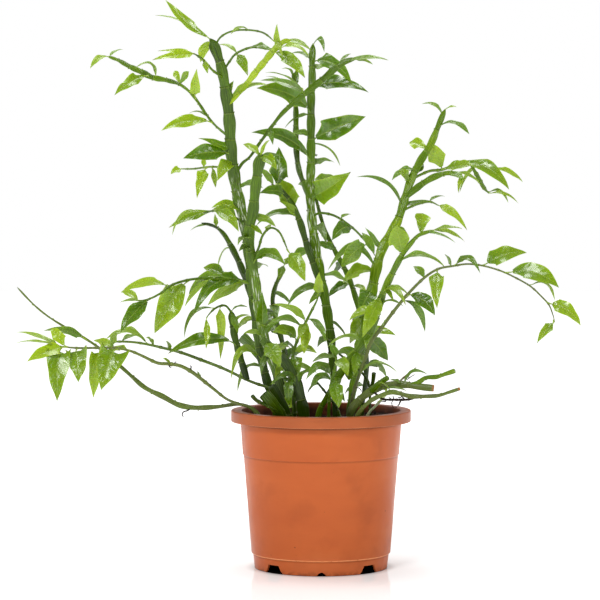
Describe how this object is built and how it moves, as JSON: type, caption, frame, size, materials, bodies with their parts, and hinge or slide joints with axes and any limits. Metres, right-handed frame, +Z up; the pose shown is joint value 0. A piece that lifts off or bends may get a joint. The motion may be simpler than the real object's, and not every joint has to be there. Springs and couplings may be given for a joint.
{
  "type": "potted amazon fern",
  "caption": "Ribbon-stemmed house plant, sold as amazon fern, with flat jointed stems and arrow-shaped leaves in a round terracotta-coloured plastic pot.",
  "frame": {"origin": "on the ground under the middle of the whole plant's outline", "axes": "+Z up, +X to the right of the picture's viewer, +Y away from the viewer"},
  "size_m": [0.5508, 0.2776, 0.5667],
  "materials": {
    "pot_plastic": "satin terracotta-orange moulded plastic",
    "compost": "dark crumbly peat; wood's density is near damp peat compost's",
    "deep_green": "glossy deep green leaf and stem; leather's density is near plant tissue's",
    "fresh_green": "glossy fresh yellow-green leaf and stem; leather's density is near plant tissue's",
    "old_green": "dull olive old stem with brown cut ends; leather's density is near plant tissue's"
  },
  "bodies": {
    "root": {"pot": "pot_plastic", "compost": "compost", "stem_left_tall": "fresh_green", "stem_left_second": "deep_green", "stem_middle_tall": "deep_green", "stem_back_thin": "deep_green", "stem_right_tall": "fresh_green", "stem_right_second": "fresh_green", "shoot_right_arching": "fresh_green", "runner_left_low": "old_green", "runner_left_middle": "fresh_green", "runner_left_high": "deep_green", "stub_front_wide": "old_green", "stub_front_left": "deep_green", "stub_front_leaning": "deep_green", "stem_right_cut": "old_green", "runner_right_cut": "old_green", "shoot_right_pale": "old_green", "twig_middle_right": "deep_green", "twig_middle": "deep_green", "shoot_middle_back": "deep_green", "shoot_middle_front": "fresh_green", "shoot_front_low": "fresh_green"}
  },
  "joints": []
}
